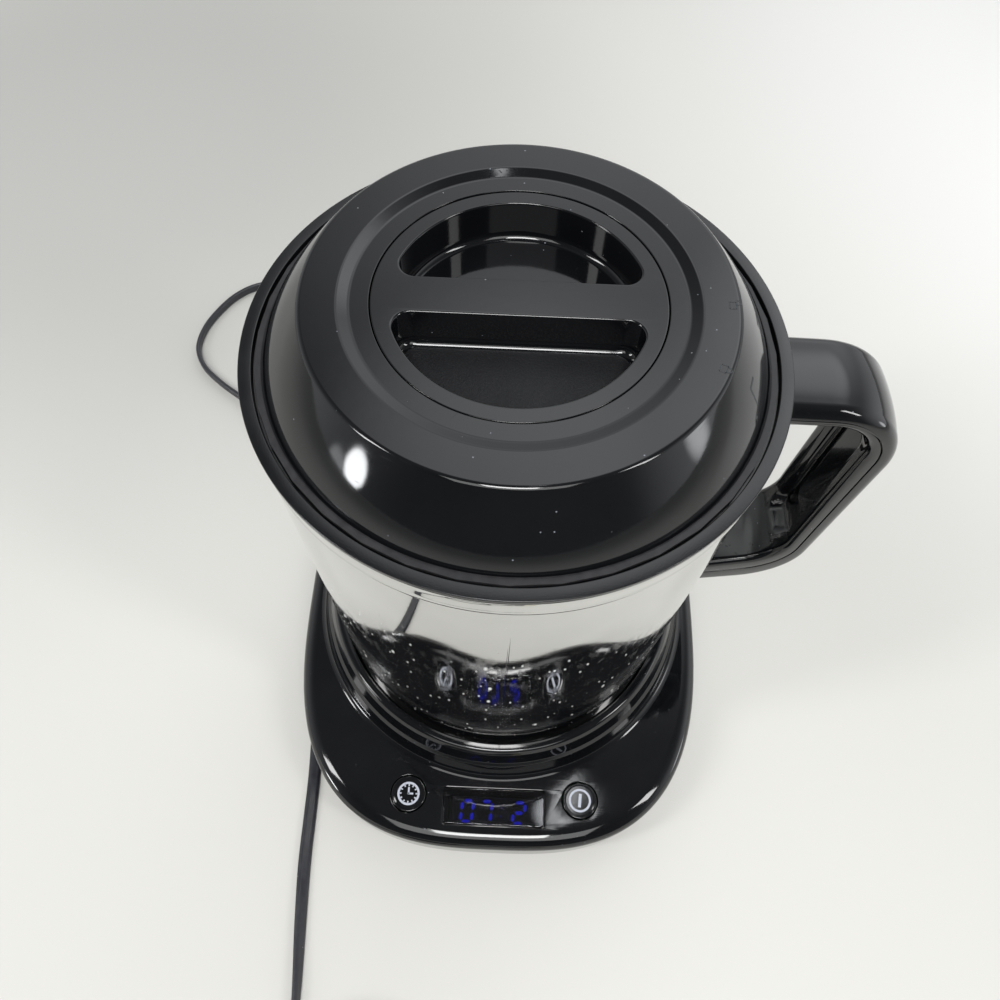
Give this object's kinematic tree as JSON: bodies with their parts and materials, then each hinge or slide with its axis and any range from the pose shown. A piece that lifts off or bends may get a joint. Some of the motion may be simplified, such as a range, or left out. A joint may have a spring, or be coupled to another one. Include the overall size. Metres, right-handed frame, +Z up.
{
  "type": "cold brew coffee maker",
  "caption": "Polished steel coffee jug with a D handle, basket lid and turn-out cap, standing on a rounded powered base with a digit display, push buttons and a flat mains cord.",
  "frame": {"origin": "centre of the appliance's footprint on the table, at the height of the feet's undersides, without the cord", "axes": "+Z up along the jug's axis, -Y towards the display and the buttons, +X towards the handle"},
  "size_m": [0.3041, 0.4613, 0.236],
  "materials": {
    "gloss_black_abs": "high gloss black ABS",
    "satin_black_abs": "satin black ABS",
    "matt_black_abs": "fine matt black ABS",
    "component_black": "moulded component bodies",
    "polished_steel": "mirror-polished stainless steel",
    "smoked_window": "smoked polished acrylic",
    "black_rubber": "matt moulded rubber",
    "seal_silicone": "dark grey silicone",
    "pad_silicone": "translucent silicone",
    "stainless_steel": "stainless steel",
    "iron_core": "dark ferrite and laminations",
    "circuit_board": "green solder resist",
    "plated_brass": "plated brass contacts",
    "cord_pvc": "dark flexible PVC"
  },
  "bodies": {
    "base": {"base_upper_shell": "gloss_black_abs", "base_pedestal": "gloss_black_abs", "base_lower_cover": "matt_black_abs", "foot_rear_right": "black_rubber", "foot_rear_left": "black_rubber", "foot_front_left": "black_rubber", "foot_front_right": "black_rubber", "base_screw_1": "stainless_steel", "base_screw_2": "stainless_steel", "base_screw_3": "stainless_steel", "base_screw_4": "stainless_steel", "display_window": "smoked_window", "display_module": "component_black", "timer_button_return_pad": "pad_silicone", "start_button_return_pad": "pad_silicone", "button_switch_1": "component_black", "button_switch_2": "component_black", "control_board": "circuit_board", "power_board": "circuit_board", "transformer": "iron_core", "capacitor_1": "component_black", "capacitor_2": "component_black", "drive_motor": "stainless_steel", "motor_bracket": "stainless_steel", "motor_screw_1": "stainless_steel", "motor_screw_2": "stainless_steel", "strain_relief": "black_rubber", "power_cord": "cord_pvc", "cord_coil": "cord_pvc", "plug_body": "black_rubber", "plug_blade_1": "plated_brass", "plug_blade_2": "plated_brass"},
    "timer_button": {"timer_button_cap": "gloss_black_abs"},
    "start_button": {"start_button_cap": "gloss_black_abs"},
    "drive_disc": {"motor_shaft": "stainless_steel", "magnet_carrier": "matt_black_abs", "drive_magnet": "iron_core"},
    "jug": {"jug_body": "polished_steel", "impeller_pin": "stainless_steel", "jug_collar": "satin_black_abs", "handle_outer": "gloss_black_abs", "handle_inner": "gloss_black_abs", "handle_screw_1": "stainless_steel", "handle_screw_2": "stainless_steel", "pump_cover": "matt_black_abs", "riser_tube": "stainless_steel"},
    "pump_wheel": {"impeller": "matt_black_abs", "impeller_magnet": "iron_core"},
    "lid_seal_ring": {"lid_gasket": "seal_silicone"},
    "lid": {"lid_shell": "gloss_black_abs", "spray_head": "matt_black_abs"},
    "cap_seal_ring": {"cap_seal": "seal_silicone"},
    "cap": {"lid_cap": "gloss_black_abs"},
    "basket": {"basket_frame": "matt_black_abs", "filter_mesh": "stainless_steel", "basket_seal": "seal_silicone"}
  },
  "joints": [
    {"name": "timer_button_press", "type": "slide", "parent": "base", "child": "timer_button", "axis": [0, 0, -1], "range_m": [0, 0.0008], "stiffness_N_per_m": 1500, "deforming": ["timer_button_return_pad"]},
    {"name": "start_button_press", "type": "slide", "parent": "base", "child": "start_button", "axis": [0, 0, -1], "range_m": [0, 0.0008], "stiffness_N_per_m": 1500, "deforming": ["start_button_return_pad"]},
    {"name": "drive_spin", "type": "hinge", "parent": "base", "child": "drive_disc", "pos_m": [-0.0116, 0.00675, 0.0288], "axis": [0, 0, 1], "continuous": true},
    {"name": "jug_lift", "type": "slide", "parent": "base", "child": "jug", "axis": [0, 0, 1], "range_m": [0, 0.06]},
    {"name": "pump_wheel_spin", "type": "hinge", "parent": "jug", "child": "pump_wheel", "pos_m": [-0.0116, 0.00675, 0.0445], "axis": [0, 0, 1], "continuous": true},
    {"name": "lid_lift", "type": "slide", "parent": "jug", "child": "lid_seal_ring", "axis": [0, 0, 1], "range_m": [0, 0.11]},
    {"name": "lid_turn", "type": "hinge", "parent": "lid_seal_ring", "child": "lid", "pos_m": [-0.0116, 0.00675, 0.216], "axis": [0, 0, 1], "range_deg": [0, 18]},
    {"name": "cap_lift", "type": "slide", "parent": "lid", "child": "cap_seal_ring", "axis": [0, 0, 1], "range_m": [0, 0.04]},
    {"name": "cap_turn", "type": "hinge", "parent": "cap_seal_ring", "child": "cap", "pos_m": [-0.0116, 0.00675, 0.2174], "axis": [0, 0, 1], "range_deg": [0, 30]},
    {"name": "basket_release", "type": "slide", "parent": "lid", "child": "basket", "axis": [0, 0, -1], "range_m": [0, 0.02]}
  ],
  "couplings": [
    {"joint": "pump_wheel_spin", "follows": "drive_spin", "ratio": 1}
  ]
}
